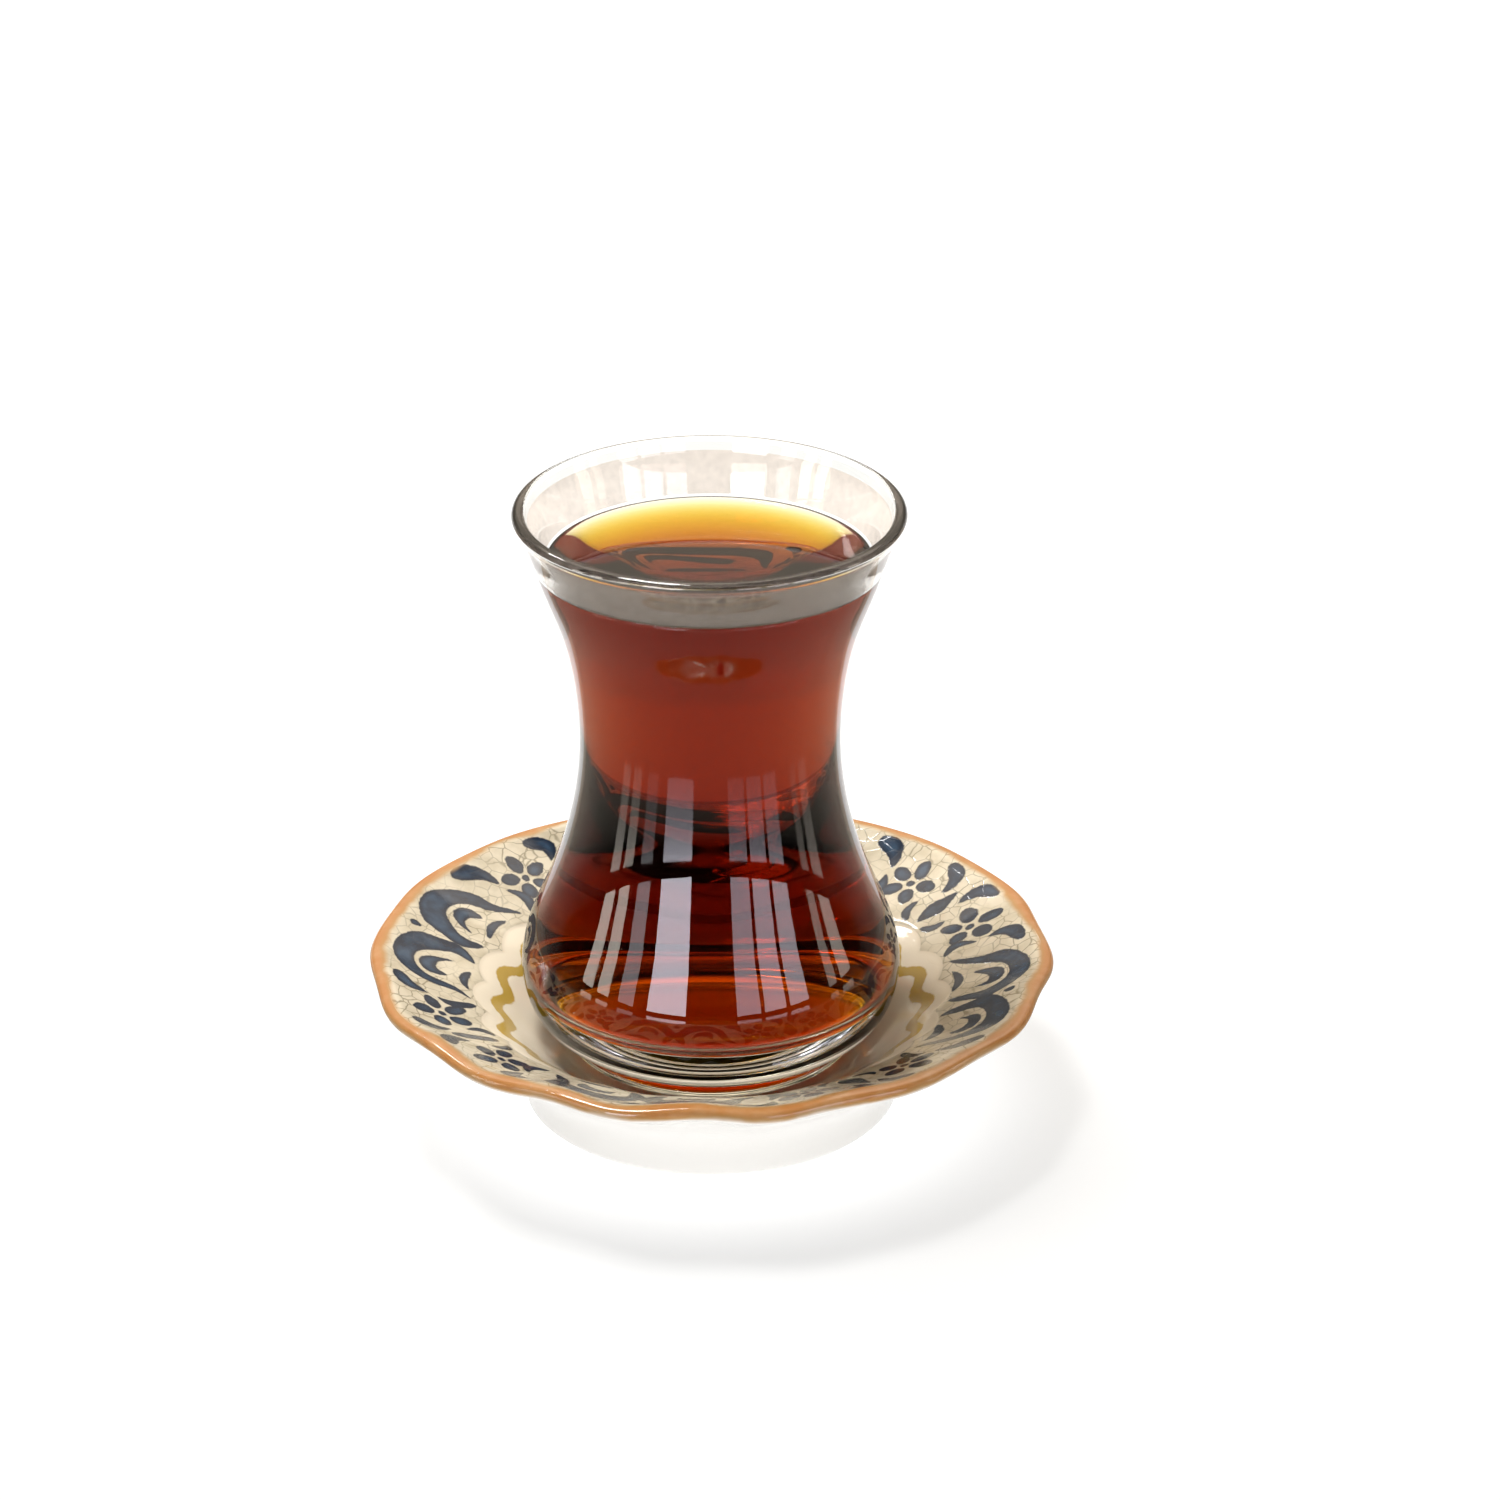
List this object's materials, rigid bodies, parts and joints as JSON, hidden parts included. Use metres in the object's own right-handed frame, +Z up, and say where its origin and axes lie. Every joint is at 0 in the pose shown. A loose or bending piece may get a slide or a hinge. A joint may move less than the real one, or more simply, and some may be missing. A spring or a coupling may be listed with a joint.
{
  "type": "turkish tea glass",
  "caption": "Tulip-shaped glass of black tea with a thick foot, standing on a round lobed stoneware saucer with a foot ring.",
  "frame": {"origin": "on the axis of the glass and saucer, at the plane that the saucer's foot ring stands on", "axes": "+Z up along the axis of the glass; -Y is the side that faces the viewer in the picture, and +X is to the viewer's right"},
  "size_m": [0.1106, 0.1098, 0.1026],
  "materials": {
    "stoneware_glaze": "glossy cream stoneware glaze with a terracotta lip, a gold-ochre wavy line and blue brush ornament over fine crackle",
    "clear_glass": "clear pressed soda-lime glass with a fire-polished lip",
    "black_tea": "clear red-brown brewed black tea"
  },
  "bodies": {
    "root": {"saucer": "stoneware_glaze", "glass": "clear_glass", "tea": "black_tea"}
  },
  "joints": []
}
